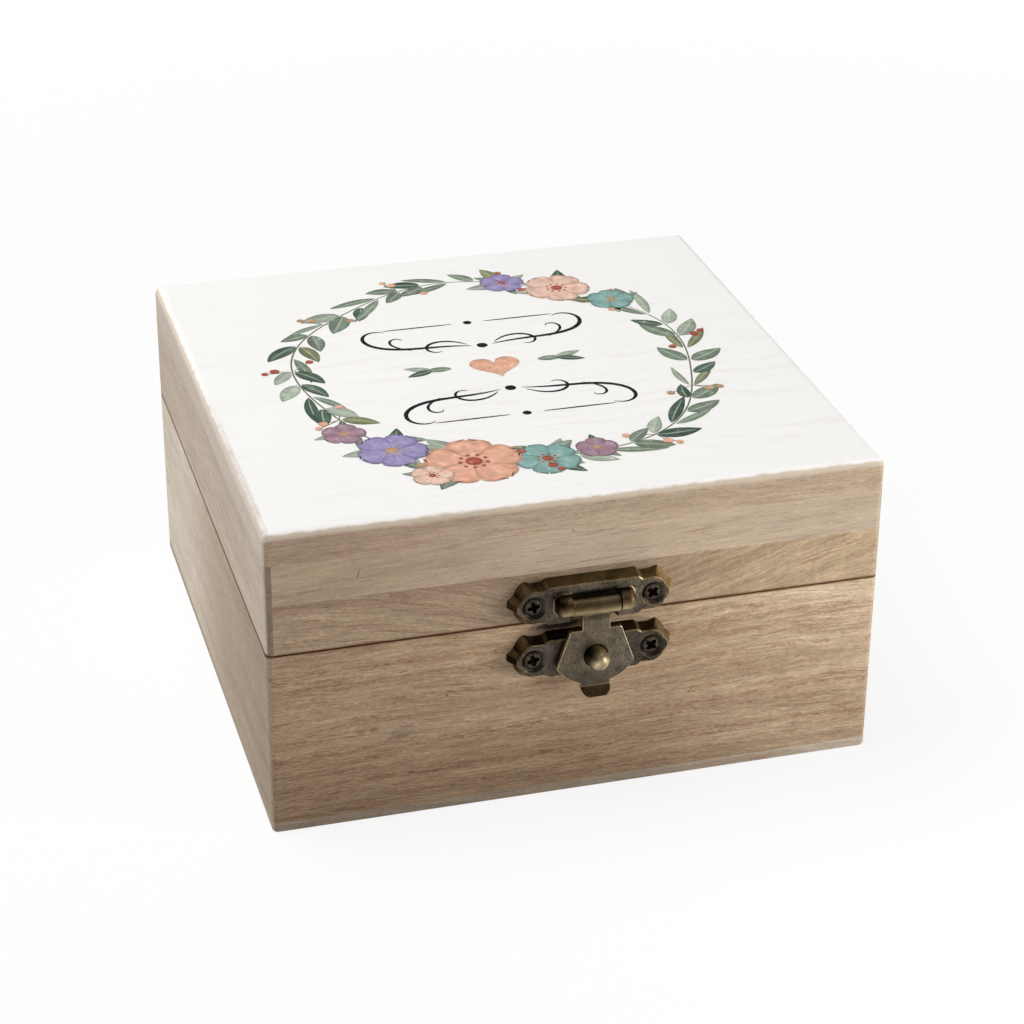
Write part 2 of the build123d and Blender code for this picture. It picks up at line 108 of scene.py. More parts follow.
# one material and its tree of nodes, built line by line
class NodeBench:
    def __init__(self, name):
        self.material = bpy.data.materials.new(name)
        self.material.use_nodes = True
        self.tree = self.material.node_tree
        self.shader = self.tree.nodes["Principled BSDF"]

    # makes a node, sets or links its inputs, and gives back one of its outputs
    def add(self, kind, inputs, out=0, **settings):
        made = self.tree.nodes.new("ShaderNode" + kind)
        for key, value in settings.items():
            setattr(made, key, value)
        for key, value in inputs.items():
            self.plug(value, made.inputs[key])
        return made.outputs[out]

    def plug(self, value, socket):
        if isinstance(value, bpy.types.NodeSocket):
            self.tree.links.new(value, socket)
        elif value is not None:
            bare = socket.type == "RGBA" and len(value) == 3
            socket.default_value = (*value, 1) if bare else value

    def sum(self, kind, a, b=None):
        return self.add("Math", {0: a, 1: b}, operation=kind)

    def times(self, a, b):
        return self.sum("MULTIPLY", a, b)

    def plus(self, a, b):
        return self.sum("ADD", a, b)

    # noise lies round one half: this swings it round nought
    def swing(self, value, reach):
        return self.times(self.plus(value, -0.5), reach)

    # values added up, each times its share
    def blend(self, first, *others):
        total = self.times(*first)
        return self.plus(total, self.blend(*others)) if others else total

    # straight or smooth ramp of a value from one range to another, kept within it
    def span(self, value, low, high, toLow=0.0, toHigh=1.0, smooth=False):
        kind = "SMOOTHSTEP" if smooth else "LINEAR"
        inputs = {0: value, 1: low, 2: high, 3: toLow, 4: toHigh}
        return self.add("MapRange", inputs, interpolation_type=kind)

    def mix(self, share, a, b, blend="MIX"):
        inputs = {0: share, 6: a, 7: b}
        return self.add("Mix", inputs, out=2, data_type="RGBA", blend_type=blend)

    # rises between start and full, and falls again between last and gone
    def band(self, value, start, full, last, gone):
        return self.times(self.span(value, start, full), self.span(value, gone, last))

    # where a group of spans along the axes overlap
    def overlap(self, place, spans, smooth=False):
        mask = 1.0
        for axis, start, end in spans:
            mask = self.times(mask, self.span(place["xyz".index(axis)], start, end, smooth=smooth))
        return mask

    def point(self, x, y, z):
        return self.add("CombineXYZ", {0: x, 1: y, 2: z})

    # distance of a flat point from nought
    def length(self, x, y):
        return self.add("VectorMath", {0: self.point(x, y, 0.0)}, out="Value", operation="LENGTH")

    # how far a flat point is from a spot, and how far it goes from there in a direction
    def around(self, x, y, spot, direction):
        inputs = {0: self.point(x, y, 0.0), 1: (*spot, 0.0)}
        offset = self.add("VectorMath", inputs, operation="SUBTRACT")
        away = self.add("VectorMath", {0: offset}, out="Value", operation="LENGTH")
        inputs = {0: offset, 1: (*direction, 0.0)}
        return away, self.add("VectorMath", inputs, out="Value", operation="DOT_PRODUCT")

    def noise(self, point, scale=1.0, detail=2.0, roughness=0.5):
        inputs = {"Vector": point, "Scale": scale, "Detail": detail, "Roughness": roughness}
        return self.add("TexNoise", inputs)

    def bump(self, height, strength, distance):
        return self.add("Bump", {"Height": height, "Strength": strength, "Distance": distance})

    # the three parts of a vector
    def parts(self, vector):
        made = self.tree.nodes.new("ShaderNodeSeparateXYZ")
        self.tree.links.new(vector, made.inputs[0])
        return tuple(made.outputs)

    # the piece's own coordinates in millimetres
    def place(self):
        point = self.add("TexCoord", {}, out="Object")
        return self.parts(self.add("VectorMath", {0: point, 3: 1 / mm}, operation="SCALE"))

    # the surface's own normal
    def facing(self):
        return self.parts(self.add("TexCoord", {}, out="Normal"))

    # value along a smooth curve through (position, height) pairs
    def curve(self, value, pairs, low, high, toLow, toHigh):
        made = self.tree.nodes.new("ShaderNodeFloatCurve")
        line = made.mapping.curves[0]
        spots = [((x - low) / (high - low), (y - toLow) / (toHigh - toLow)) for x, y in pairs]
        line.points[0].location, line.points[1].location = spots[0], spots[-1]
        for spot in spots[1:-1]:
            line.points.new(*spot)
        made.mapping.update()
        self.tree.links.new(self.span(value, low, high), made.inputs["Value"])
        return self.span(made.outputs[0], 0.0, 1.0, toLow, toHigh)

    # colour along a value through (position, colour) pairs
    def ramp(self, value, low, high, stops):
        made = self.tree.nodes.new("ShaderNodeValToRGB")
        line = made.color_ramp
        line.elements[0].position, line.elements[0].color = 0.0, (*stops[0][1], 1)
        line.elements[1].position, line.elements[1].color = 1.0, (*stops[-1][1], 1)
        for spot, colour in stops[1:-1]:
            line.elements.new((spot - low) / (high - low)).color = (*colour, 1)
        self.tree.links.new(self.span(value, low, high), made.inputs[0])
        return made.outputs[0]

    # multiplies a colour by a plain factor
    def scaled(self, colour, factor):
        grey = self.add("CombineColor", {0: factor, 1: factor, 2: factor})
        return self.mix(1.0, colour, grey, "MULTIPLY")

    # multiplies a colour by a tint where a mask stands
    def tinted(self, mask, colour, tint):
        share = self.mix(mask, (1, 1, 1), tint)
        return self.mix(1.0, colour, share, "MULTIPLY")

    # tints a colour where all of a group of spans along the axes overlap
    def faded(self, colour, place, fades):
        for spans, tint in fades:
            colour = self.tinted(self.overlap(place, spans, smooth=True), colour, tint)
        return colour

    # tints a colour inside ellipses seen from the front, made ragged by a grain
    def smudgedAndShaded(self, colour, x, z, outer, grain, marks):
        for markX, markZ, long, high, turn, tint in marks:
            c, s = math.cos(math.radians(turn)), math.sin(math.radians(turn))
            right, up = self.plus(x, -markX), self.plus(z, -markZ)
            along = self.plus(self.times(right, c / long), self.times(up, s / long))
            over = self.plus(self.times(right, -s / high), self.times(up, c / high))
            reach = self.plus(self.length(along, over), self.swing(grain, 0.9))
            mask = self.times(outer, self.span(reach, 1.15, 0.45, smooth=True))
            colour = self.tinted(mask, colour, tint)
        return colour

    def finish(self, **sockets):
        for name, value in sockets.items():
            self.plug(value, self.shader.inputs[name.replace("_", " ")])
        return self.material


def dress(material, *names):
    for name in names:
        piece = nodes[name]
        piece.data.materials.clear()
        piece.data.materials.append(material)


# wood: what a board is unless it says otherwise, in millimetres
plainBoard = {
    "along": "x",  # axis of the grain
    "across": "z",
    "shift": (0.0, 0.0, 0.0),  # moves the pattern, so that no two boards are cut from the same wood
    "light": (0.50, 0.355, 0.225),
    "dark": (0.31, 0.205, 0.122),
    "streak": (0.27, 0.135, 0.070),  # colour of the short reddish dashes
    "dashes": 0.62,  # strength of them
    "lineTone": (0.20, 0.125, 0.080),
    "lines": 0.30,  # strength of the long dark lines
    "fleck": 1.0,  # strength of the finest light and dark flecks
    "endTone": (0.30, 0.215, 0.15),  # sawn ends
    "endDark": 0.62,  # tone of their pores beside that
    "rings": (),  # (position, height) along a growth ring that the fibres follow over the face
    "slope": 0.0,  # rise of the fibres across the board
    "wave": 1.0,  # how much the fibres wander
    "bands": (),  # (place across the grain, half width, strength) of reddish bands
    "fades": (),  # (((axis, from, to), ...), tint): slow changes of tone over the board, mostly painted light and shade
    "marks": (),  # (x, z, half length, half height, turn, tint): smudges, nicks, stains and patches of painted shade
}


# kinds of strand in wood: length and thickness in millimetres, then detail and roughness of the noise
strandKinds = {
    "broad": (55.0, 5.5, 2.0, 0.55),
    "middle": (17.0, 1.4, 2.0, 0.55),
    "fibre": (4.4, 0.36, 3.0, 0.7),
    "fine": (0.85, 0.19, 2.0, 0.65),
    "rows": (12.0, 0.70, 2.0, 0.55),
    "dash": (0.95, 0.23, 1.0, 0.55),
    "line": (9.0, 0.27, 2.0, 0.55),
    "clump": (5.0, 1.7, 2.0, 0.55),
    "pores": (9.0, 0.17, 2.0, 0.55),
    "poreRows": (9.0, 0.9, 2.0, 0.55),
}
# how fibres wander: waves per millimetre along and across the grain, detail, and how far they stray
wanderings = ((0.022, 0.06, 1.0, 3.2), (0.15, 0.28, 2.0, 1.15))
ringField = (-60.0, 60.0, -12.0, 12.0)  # growth rings lie within this length and height
markedFrom = (-48.0, -49.0)  # marks show on the front only, between none and full at this y


def woodColour(bench, board):
    x, y, z = bench.place()
    nx, ny, nz = bench.facing()
    axes = {"x": (x, nx), "y": (y, ny), "z": (z, nz)}
    along, across = board["along"], board["across"]
    through = ({"x", "y", "z"} - {along, across}).pop()
    u, v, w = (bench.plus(axes[axis][0], by) for axis, by in zip((along, across, through), board["shift"]))
    endFacing = axes[along][1]

    # a long sway and a short ripple move the point across the grain
    strays = []
    for perAlong, perAcross, detail, far in wanderings:
        spot = bench.point(bench.times(u, perAlong), bench.times(v, perAcross), bench.times(w, perAcross))
        strays.append(bench.swing(bench.noise(spot, 1.0, detail), far * board["wave"]))
    for stray in strays:
        v = bench.plus(v, stray)
    v = bench.plus(v, bench.times(u, -board["slope"]))
    if board["rings"]:
        v = bench.sum("SUBTRACT", v, bench.curve(u, board["rings"], *ringField))

    def strands(kind):
        long, thick, detail, roughness = strandKinds[kind]
        spot = bench.point(bench.times(u, 1 / long), bench.times(v, 1 / thick), bench.times(w, 1 / thick))
        return bench.noise(spot, 1.0, detail, roughness)

    fibre, fine, clump = strands("fibre"), strands("fine"), strands("clump")
    tone = bench.blend((strands("broad"), 0.38), (strands("middle"), 0.34), (fibre, 0.28))
    shade = bench.span(tone, 0.37, 0.63)
    colour = bench.mix(shade, board["dark"], board["light"])

    # short reddish dashes stand in rows, and closer together along the bands
    dashMask = bench.span(strands("dash"), 0.45, 0.57, smooth=True)
    rowMask = bench.span(strands("rows"), 0.50, 0.64, smooth=True)
    red = bench.times(rowMask, bench.span(clump, 0.36, 0.60, 0.25, 1.0))
    for height, width, strength in board["bands"]:
        away = bench.sum("ABSOLUTE", bench.plus(v, -height))
        inBand = bench.span(away, width, 0.0, smooth=True)
        inBand = bench.times(inBand, bench.span(clump, 0.34, 0.58, 0.3, 1.0))
        red = bench.sum("MAXIMUM", red, bench.times(inBand, strength))
    red = bench.times(red, bench.plus(bench.times(dashMask, 0.70), 0.30))
    colour = bench.mix(bench.times(red, board["dashes"]), colour, board["streak"])

    # long thin lines, then fine flecks that lighten and darken
    lineMask = bench.span(strands("line"), 0.57, 0.66, smooth=True)
    lineMask = bench.times(lineMask, bench.span(clump, 0.40, 0.60, 0.2, 1.0))
    colour = bench.mix(bench.times(lineMask, board["lines"]), colour, board["lineTone"])
    darkest, lightest = 1 - 0.26 * board["fleck"], 1 + 0.25 * board["fleck"]
    grit = bench.span(bench.blend((fibre, 0.42), (fine, 0.58)), 0.35, 0.65, darkest, lightest)
    colour = bench.scaled(colour, grit)

    colour = bench.faded(colour, (x, y, z), board["fades"])
    outer = bench.times(bench.span(ny, -0.5, -0.9), bench.span(y, *markedFrom))
    colour = bench.smudgedAndShaded(colour, x, z, outer, fine, board["marks"])

    # sawn ends are darker and show the pores as dots
    ends = bench.span(bench.sum("ABSOLUTE", endFacing), 0.6, 0.8)
    dots = bench.blend((strands("pores"), 0.6), (strands("poreRows"), 0.4))
    poreTone = [board["endDark"] * part for part in board["endTone"]]
    endColour = bench.mix(bench.span(dots, 0.40, 0.60), poreTone, board["endTone"])
    colour = bench.mix(ends, colour, endColour)
    height = bench.blend((fibre, 0.5), (fine, 0.5))
    height = bench.sum("SUBTRACT", height, bench.times(lineMask, 0.5))
    return colour, height, (x, y, z), (nx, ny, nz)


def woodMaterial(name, **changes):
    board = {**plainBoard, **changes}
    bench = NodeBench(name)
    colour, height = woodColour(bench, board)[:2]
    rough = bench.span(height, 0.2, 0.8, 0.78, 0.58)
    normal = bench.bump(height, 0.55, 0.00012)
    return bench.finish(Base_Color=colour, Roughness=rough, Normal=normal, Specular_IOR_Level=0.35)


# white print over a board: it lies on the top and wears off raggedly over the rounded edge
whitePrint = {
    "paint": (0.958, 0.958, 0.946),
    "veil": (0.895, 0.868, 0.835),  # thin streaks in the paint
    "haze": (0.72, 0.62, 0.51),  # what is left of it over the rounded edge
    "leftHaze": (0.53, 0.475, 0.44),
    "full": (0.60, 0.88),  # how far up the surface faces where the paint starts and is whole
    "hazed": (0.08, 0.42),  # and where the haze does
}


def printedMaterial(name, **changes):
    board = {**plainBoard, **changes}
    bench = NodeBench(name)
    wood, height, (x, y, z), (nx, ny, nz) = woodColour(bench, board)
    sway = bench.noise(bench.point(bench.times(x, 0.03), bench.times(y, 0.09), 0.0), 1.0, 2.0)
    row = bench.plus(y, bench.times(sway, 7.0))
    streak = bench.noise(bench.point(bench.times(x, 0.035), bench.times(row, 0.55), 4.0), 1.0, 3.0, 0.6)
    thread = bench.noise(bench.point(bench.times(x, 0.22), bench.times(row, 2.6), 8.0), 1.0, 2.0, 0.6)
    cloud = bench.noise(bench.point(x, y, 2.0), 0.035, 2.0)
    veil = bench.span(bench.blend((streak, 0.6), (thread, 0.4)), 0.46, 0.68, smooth=True)
    veil = bench.times(veil, bench.span(cloud, 0.3, 0.7, 0.2, 1.0))
    veil = bench.times(veil, bench.span(y, 5.0, 48.0, 1.0, 0.35))
    paint = bench.mix(veil, whitePrint["paint"], whitePrint["veil"])
    spot = bench.point(bench.times(x, 0.5), bench.times(y, 0.5), bench.times(z, 1.2))
    upward = bench.plus(nz, bench.swing(bench.noise(spot, 1.0, 4.0, 0.7), 0.45))
    kept = bench.span(upward, *whitePrint["full"], smooth=True)
    haze = bench.span(upward, *whitePrint["hazed"])
    hazed = bench.mix(bench.times(haze, 0.72), wood, whitePrint["haze"])

    # along the left edge the print stops short of the rounding, and grey haze is left
    leftEdge = bench.span(y, 12.0, -22.0, 0.12, 1.0, smooth=True)
    leftEdge = bench.times(bench.span(nx, -0.05, -0.30), leftEdge)
    drift = bench.noise(bench.point(0.0, bench.times(y, 0.16), 0.0), 1.0, 2.0)
    spot = bench.point(bench.times(x, 2.6), bench.times(y, 2.6), bench.times(z, 2.6))
    grains = bench.noise(spot, 1.0, 2.0, 0.7)
    bare = bench.plus(bench.swing(drift, 0.7), bench.swing(grains, 0.8))
    bare = bench.times(leftEdge, bench.span(bare, -0.35, 0.15))
    kept = bench.times(kept, bench.span(bare, 0.0, 1.0, 1.0, 0.18))
    leftHaze = bench.times(leftEdge, bench.times(haze, 0.65))
    hazed = bench.mix(leftHaze, hazed, whitePrint["leftHaze"])
    colour = bench.mix(kept, hazed, paint)
    rough = bench.span(kept, 0.0, 1.0, 0.70, 0.62)
    normal = bench.bump(bench.blend((height, 0.5), (thread, 0.5)), 0.30, 0.00010)
    return bench.finish(Base_Color=colour, Roughness=rough, Normal=normal, Specular_IOR_Level=0.22)


# painted shade: a brown line beside the open line between base and lid, on the front or left face only
seamShadeTints = {"y": (0.66, 0.55, 0.44), "x": (0.48, 0.39, 0.32)}


def seamShade(axis, start, end):
    return (("z", start, end), (axis, -49.0, -49.6)), seamShadeTints[axis]


print("wood")
frontBase = {
    "light": (0.495, 0.360, 0.236),
    "dark": (0.315, 0.214, 0.130),
    "streak": (0.25, 0.130, 0.068),
    "dashes": 0.80,
    "lines": 0.42,
    "fleck": 1.15,
    "bands": (
        (27.4, 1.2, 1.1), (25.0, 0.8, 1.0), (21.2, 1.0, 1.1), (17.6, 0.5, 0.7),
        (13.2, 1.3, 1.1), (11.2, 0.6, 0.8), (7.4, 0.9, 1.1),
    ),
    "fades": (
        seamShade("y", 31.70, 31.86),
        # painted light and shade: lighter towards the right and the upper middle, darker towards the bottom
        # and the lower left
        ((("x", 2, 42),), (1.24, 1.31, 1.38)),
        ((("x", -48, -30), ("x", 6, -12), ("z", 23, 28)), (1.10, 1.11, 1.12)),
        ((("x", 10, 45), ("z", 15, 22)), (1.12, 1.15, 1.17)),
        ((("x", -26, -16), ("x", 14, 2), ("z", 15, 22)), (1.06, 1.07, 1.07)),
        ((("z", 22, 4),), (0.87, 0.86, 0.85)),
        ((("z", 21, 4), ("x", 34, -5)), (0.86, 0.84, 0.80)),
        ((("x", -36, -44), ("z", 21, 10)), (0.93, 0.92, 0.90)),
    ),
    "marks": (
        (-29.3, 15.3, 3.2, 1.3, 25, (0.78, 0.80, 0.86)),
        (-21.7, 21.0, 0.35, 0.25, 0, (0.35, 0.30, 0.30)),
        (18.7, 15.6, 0.9, 0.16, 55, (0.60, 0.55, 0.52)),
        # painted shade on the wood between the clasp plates
        (-3.4, 31.1, 5.6, 0.9, 2, (0.07, 0.055, 0.05)),
    ),
}
frontLower = {
    "shift": (0, 0, 77),
    "light": (0.445, 0.328, 0.220),
    "dark": (0.295, 0.205, 0.130),
    "streak": (0.25, 0.150, 0.082),
    "fleck": 1.15,
    "rings": (
        (-60, 0.5), (-49, 0.0), (-36.5, -0.65), (-25.5, -2.3), (-16.1, -4.5), (-11.4, -5.9),
        (-2, -7.2), (8, -5.9), (20, -2.8), (32, 0.6), (50, 5.2), (60, 7.6),
    ),
    "bands": (
        (40.2, 0.7, 1.0), (38.7, 0.5, 0.8), (41.6, 0.5, 0.8),
        (36.9, 0.5, 0.7), (43.0, 0.6, 0.9), (35.2, 0.5, 0.8),
    ),
    "wave": 0.75,
    "lines": 0.55,
    "fades": (
        seamShade("y", 32.52, 32.38),
        # painted light and shade: lighter towards both ends, most at the right, and darker at the upper
        # left
        ((("x", -24, -46),), (1.08, 1.09, 1.10)),
        ((("x", 6, 40),), (1.30, 1.35, 1.32)),
        ((("x", 0, -16), ("z", 38.0, 39.6)), (0.90, 0.88, 0.90)),
    ),
    "marks": (
        # painted shade: behind the clasp plate's window, and on the wood between the clasp plates
        (1.0, 36.6, 7.4, 1.9, 0, (0.06, 0.05, 0.05)),
        (-3.4, 32.2, 5.4, 0.5, 0, (0.25, 0.20, 0.17)),
    ),
}
frontUpper = {
    "shift": (0, 3, 133),
    "light": (0.595, 0.468, 0.350),
    "dark": (0.470, 0.358, 0.256),
    "streak": (0.34, 0.235, 0.150),
    "wave": 0.35,
    "slope": 0.035,
    "dashes": 0.35,
    "lines": 0.30,
    "fleck": 0.5,
    # painted shade: darker towards the left end, and a little towards the right
    "fades": (((("x", 0, -42),), (0.85, 0.81, 0.76)), ((("x", 12, 42),), (0.94, 0.97, 0.98))),
    "marks": (
        (-35.4, 44.6, 0.9, 0.13, 72, (0.45, 0.40, 0.38)),
        (-1.5, 47.5, 0.7, 0.14, -40, (0.55, 0.48, 0.42)),
    ),
}
sideWood = {
    "along": "y",
    "light": (0.525, 0.443, 0.362),
    "dark": (0.400, 0.325, 0.256),
    "streak": (0.36, 0.245, 0.175),
    "dashes": 0.50,
    "lines": 0.34,
    "fleck": 0.55,
    "wave": 0.45,
}
leftBase = {
    **sideWood,
    "light": (0.345, 0.270, 0.196),
    "dark": (0.262, 0.198, 0.138),
    "fades": (
        seamShade("x", 31.60, 31.80),
        # painted light: lighter towards the back
        ((("y", -49, -12),), (1.18, 1.20, 1.24)),
        ((("y", -16, 30),), (1.64, 1.82, 2.04)),
    ),
}
dress(woodMaterial("baseFrontWood", **frontBase), "base_front_wall")
dress(woodMaterial("baseBackWood", shift=(311, 0, 40)), "base_back_wall")
dress(woodMaterial("baseLeftWood", **leftBase, shift=(40, 13, 90)), "base_left_wall")
dress(woodMaterial("baseRightWood", **sideWood, shift=(510, 33, 190)), "base_right_wall")
dress(woodMaterial("lidFrontLowerWood", **frontLower), "lid_front_rail_lower")
dress(woodMaterial("lidFrontUpperWood", **frontUpper), "lid_front_rail_upper")
for number, name in enumerate(("lid_back_rail_lower", "lid_back_rail_upper")):
    dress(woodMaterial(name + "Wood", shift=(205 * number, 11, 55)), name)
sideRail = {
    **sideWood,
    "endTone": (0.29, 0.222, 0.165),
    "fades": (seamShade("x", 32.6, 32.4),),
}
sideRails = ("lid_left_rail_lower", "lid_left_rail_upper", "lid_right_rail_lower", "lid_right_rail_upper")
for number, name in enumerate(sideRails):
    dress(woodMaterial(name + "Wood", **sideRail, shift=(55 + 205 * number, 11, 5)), name)
topBoard = {
    "across": "y",
    "light": (0.545, 0.422, 0.307),
    "dark": (0.430, 0.328, 0.232),
    "dashes": 0.30,
    "lines": 0.22,
    "fleck": 0.75,
    "wave": 0.5,
    "endTone": (0.56, 0.485, 0.415),
    "endDark": 0.82,
    # painted shade: darker towards the left
    "fades": (((("x", 0, -44),), (0.82, 0.77, 0.78)),),
}
floorBoard = {
    "across": "y",
    "light": (0.345, 0.275, 0.208),
    "dark": (0.265, 0.208, 0.155),
    "fleck": 0.8,
    "fades": (
        # painted light: lighter towards the right, with a painted highlight on the rounded right end
        ((("x", -5, 46),), (1.60, 1.70, 1.80)),
        ((("x", 40, 50), ("z", 0.3, 1.6)), (1.15, 1.2, 1.3)),
    ),
    "endTone": (0.36, 0.30, 0.24),
    "endDark": 0.85,
}
dress(printedMaterial("printedTop", **topBoard), "lid_top_board")


# Floor board: round a square with rounded corners runs a profile, point P(a, t) of both being
# the corner's middle + (cornerRound - inset(t)) * (cos a, sin a), at height(t). The profile goes
# straight down from the top and round the lower edge, where inset = r - r cos t and height = r - r sin t.
floorShape = {"cornerRound": 1.0, "edgeRound": 0.45, "cornerPoints": 9, "edgePoints": 7}


def makeFloorBoard():
    low, high = (np.array(corner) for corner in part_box("base_floor"))
    corner, edge = floorShape["cornerRound"] * mm, floorShape["edgeRound"] * mm
    turn = np.linspace(0, np.pi / 2, floorShape["edgePoints"])
    inset = np.concatenate([[0.0], edge - edge * np.cos(turn)])
    height = np.concatenate([[high[2]], low[2] + edge - edge * np.sin(turn)])
    fan = np.linspace(0, np.pi / 2, floorShape["cornerPoints"])
    angle = (np.arange(4)[:, None] * np.pi / 2 + fan[None, :]).reshape(-1)
    quarter = np.repeat(np.arange(4) * np.pi / 2 + np.pi / 4, len(fan))
    half = (high - low)[:2] / 2 - corner
    side = np.sign(np.stack([np.cos(quarter), np.sin(quarter)], axis=1))
    middle = (high + low)[:2] / 2 + side * half
    ring = np.stack([np.cos(angle), np.sin(angle)], axis=1)
    flat = middle[None] + (corner - inset)[:, None, None] * ring[None]
    points = np.concatenate([flat, np.broadcast_to(height[:, None, None], (*flat.shape[:2], 1))], axis=2)
    rows, columns = points.shape[:2]
    row = np.arange(rows - 1)[:, None] * columns
    first, after = row + np.arange(columns)[None, :], row + (np.arange(columns) + 1)[None, :] % columns
    sides = np.stack([first, first + columns, after + columns, after], axis=2).reshape(-1, 4).tolist()
    top, under = list(range(columns)), list(range(rows * columns - 1, (rows - 1) * columns - 1, -1))
    mesh = bpy.data.meshes.new("floorBoard")
    mesh.from_pydata(points.reshape(-1, 3).tolist(), [], sides + [top, under])
    board = placed("floorBoard", mesh)
    mesh.materials.append(woodMaterial("floorBoard", **floorBoard))
    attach(board, "base")
    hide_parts("base_floor")


makeFloorBoard()


# a node's middle and half size in millimetres
def middleOf(node):
    low, high = (np.array(corner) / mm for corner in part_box(node))
    return (low + high) / 2, (high - low) / 2


# dirt, wear and painted shade on screws and their seats, in millimetres: four radii are a ring's
# inner and outer edges, each from none to full or back
screwDirtAndShade = {
    "upperLeft": (-0.75, 0.66),  # the side of a seat or rim that lies in shade
    "seatShadow": (0.60, 0.50, 0.26, 0.14),  # painted shadow in the seat, inward from its edge
    "seatShadowTint": (0.03, 0.03, 0.03),
    "middle": (1.00, 0.45),
    "middleTint": (0.20, 0.19, 0.18),
    "specks": (0.75, 0.95, 1.30, 1.45),
    "speckColour": (0.21, 0.18, 0.145),
    "shadow": (1.36, 1.46, 1.70, 1.75),
    "shadowTint": (0.05, 0.05, 0.05),
    "worn": (1.15, 1.30, 1.50, 1.62),
    "wornColour": (0.16, 0.125, 0.075),
    "recess": (1.6, 1.5),
    "recessDepth": (0.06, 0.16),  # from none to full, behind the head's face
    "recessTint": (0.24, 0.23, 0.22),
}


# a head has a dark middle, a speckled ring, a shadow and bare metal at its rim, and a dark recess
def dirtAndShadeOnHead(bench, colour, place, head, tone, speck):
    x, y, z = place
    headX, headZ, face = head
    away, lean = bench.around(x, z, (headX, headZ), screwDirtAndShade["upperLeft"])
    middle = bench.span(bench.plus(away, bench.swing(speck, 1.5)), *screwDirtAndShade["middle"], smooth=True)
    colour = bench.tinted(middle, colour, screwDirtAndShade["middleTint"])
    specks = bench.times(bench.band(away, *screwDirtAndShade["specks"]), bench.span(speck, 0.46, 0.58))
    colour = bench.mix(bench.times(specks, 0.40), colour, screwDirtAndShade["speckColour"])
    shadow = bench.times(bench.band(away, *screwDirtAndShade["shadow"]), bench.span(lean, 0.2, 0.9))
    colour = bench.tinted(shadow, colour, screwDirtAndShade["shadowTint"])
    worn = bench.times(bench.band(away, *screwDirtAndShade["worn"]), bench.span(tone, 0.35, 0.7))
    colour = bench.mix(bench.times(worn, 0.5), colour, screwDirtAndShade["wornColour"])
    recess = bench.span(y, *(face + depth for depth in screwDirtAndShade["recessDepth"]))
    recess = bench.times(bench.span(away, *screwDirtAndShade["recess"]), recess)
    return bench.tinted(recess, colour, screwDirtAndShade["recessTint"])


# antiqued brass or bronze: a dark patina lies on flat fronts and bare metal shows on bevels and rims;
# curls carry a painted reflection, and walls that face up or left a painted shade of dark olive
def metalMaterial(name, finish):
    bench = NodeBench(name)
    place = x, y, z = bench.place()
    nx, ny, nz = bench.facing()
    spot = bench.point(x, y, z)
    front = bench.times(ny, -finish.get("frontSign", 1))
    blotch = bench.noise(spot, 0.55, 3.0, 0.6)
    grain = bench.noise(spot, 3.0, 3.0, 0.7)
    speck = bench.noise(spot, 6.0, 2.0, 0.6)
    tone = bench.span(bench.blend((blotch, 0.32), (grain, 0.38), (speck, 0.30)), 0.39, 0.61)
    patina, brass, olive = (
        bench.mix(tone, finish[kind + "Dark"], finish[kind + "Light"])
        for kind in ("patina", "brass", "olive")
    )
    ragged = bench.swing(grain, 0.12)
    # painted shade: walls that face up, or also left where the finish has a left tint, go dark olive
    shaded = bench.sum("MAXIMUM", nz, bench.times(nx, -1.0 if "leftShadeTint" in finish else 0.0))
    shaded = bench.span(bench.plus(shaded, ragged), *finish["oliveFrom"], smooth=True)
    colour = bench.mix(shaded, brass, olive)
    if "rolled" in finish:
        # a rolled part gets a painted reflection: bright where it faces down, and toned by how its surface
        # turns
        along = bench.blend((nx, finish["rollLean"][0]), (nz, finish["rollLean"][1]))
        tube = bench.ramp(bench.plus(along, bench.times(ragged, 1.5)), -1.0, 1.0, finish["rolled"])
        tube = bench.scaled(tube, bench.span(tone, 0.0, 1.0, 0.70, 1.30))
        colour = bench.mix(bench.overlap(place, finish["rollSpans"]), colour, tube)
    # painted shade on walls that face left
    if "leftShadeTint" in finish:
        colour = bench.tinted(bench.span(nx, -0.35, -0.75), colour, finish["leftShadeTint"])
    covered = bench.span(bench.plus(front, ragged), *finish["patinaFrom"], smooth=True)
    covered = bench.times(covered, bench.overlap(place, finish.get("patinaSpans", ())))

    # patina fills each countersink, and a painted shadow lies in its upper left
    seatShadows = []
    for seatX, seatZ, reach in finish.get("seats", ()):
        away, lean = bench.around(x, z, (seatX, seatZ), screwDirtAndShade["upperLeft"])
        covered = bench.sum("MAXIMUM", covered, bench.span(away, reach + 0.05, reach - 0.1))
        lean = bench.sum("DIVIDE", lean, bench.sum("MAXIMUM", away, 0.01))
        ring = bench.band(away, *(reach - inward for inward in screwDirtAndShade["seatShadow"]))
        seatShadows.append(bench.times(ring, bench.span(lean, 0.0, 0.5)))
    colour = bench.mix(bench.times(covered, finish["patinaShare"]), colour, patina)
    for seatShadow in seatShadows:
        colour = bench.tinted(seatShadow, colour, screwDirtAndShade["seatShadowTint"])
    for head in finish.get("heads", ()):
        colour = dirtAndShadeOnHead(bench, colour, place, head, tone, speck)
    colour = bench.faded(colour, place, finish.get("fades", ()))
    colour = bench.smudgedAndShaded(colour, x, z, 1.0, grain, finish.get("marks", ()))
    # painted shade on the bent-out tab
    if "tabSpans" in finish:
        colour = bench.tinted(bench.overlap(place, finish["tabSpans"]), colour, finish["tabShadeTint"])
    rough = bench.span(grain, 0.3, 0.7, finish["rough"] - 0.07, finish["rough"] + 0.09)
    normal = bench.bump(bench.blend((grain, 0.6), (speck, 0.4)), 0.45, 0.00006)
    return bench.finish(Base_Color=colour, Metallic=1.0, Roughness=rough, Normal=normal)


